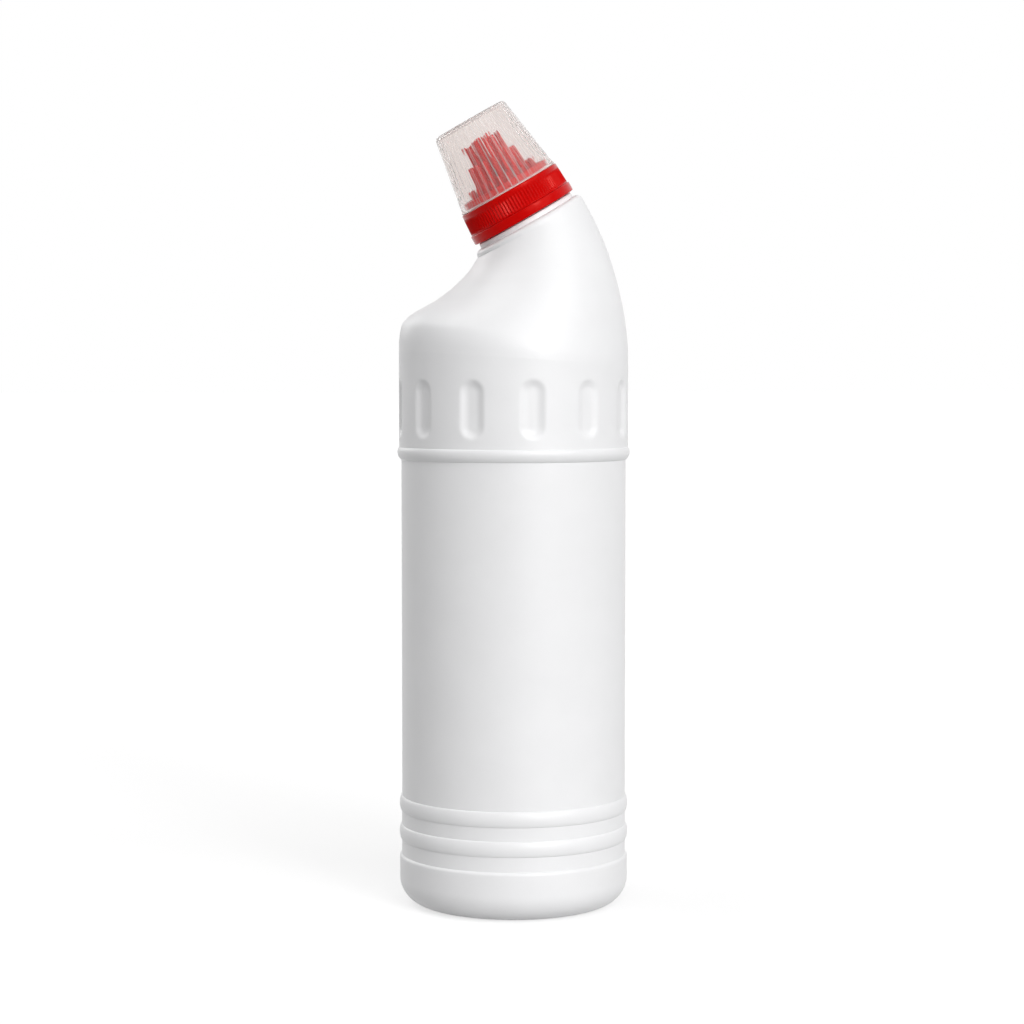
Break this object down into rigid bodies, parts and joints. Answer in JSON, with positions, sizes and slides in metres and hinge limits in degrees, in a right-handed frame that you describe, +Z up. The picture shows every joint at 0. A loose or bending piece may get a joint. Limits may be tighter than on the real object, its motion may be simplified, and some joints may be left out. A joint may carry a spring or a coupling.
{
  "type": "drain cleaner bottle",
  "caption": "White leaning-neck bottle with dimpled upper band, ribbed foot, red screw brush cap with tamper band, and clear tapered overcap.",
  "frame": {"origin": "centre of the bottle's standing face, on the body axis", "axes": "+Z up along the body axis, -X the way the neck leans, X-Z the plane of symmetry"},
  "size_m": [0.0812, 0.0812, 0.2803],
  "materials": {
    "white_hdpe": "blow-moulded, satin",
    "red_pp": "injection-moulded, semi-gloss",
    "clear_pp": "injection-moulded, clear with a slight haze"
  },
  "bodies": {
    "bottle": {"bottle": "white_hdpe"},
    "band": {"tamper_band": "red_pp"},
    "cap": {"brush_cap": "red_pp", "brush_head": "red_pp"},
    "cover": {"overcap": "clear_pp"}
  },
  "joints": [
    {"name": "cap_turn", "type": "hinge", "parent": "bottle", "child": "band", "pos_m": [0.0048, 0, 0.2385], "axis": [-0.5, 0, 0.866], "range_deg": [0, 810]},
    {"name": "cap_lift", "type": "slide", "parent": "band", "child": "cap", "axis": [-0.5, 0, 0.866], "range_m": [0, 0.00716]},
    {"name": "overcap_pull", "type": "slide", "parent": "cap", "child": "cover", "axis": [-0.5, 0, 0.866], "range_m": [0, 0.034]}
  ],
  "couplings": [
    {"joint": "cap_lift", "follows": "cap_turn", "m_per_rad": 0.00050611}
  ]
}
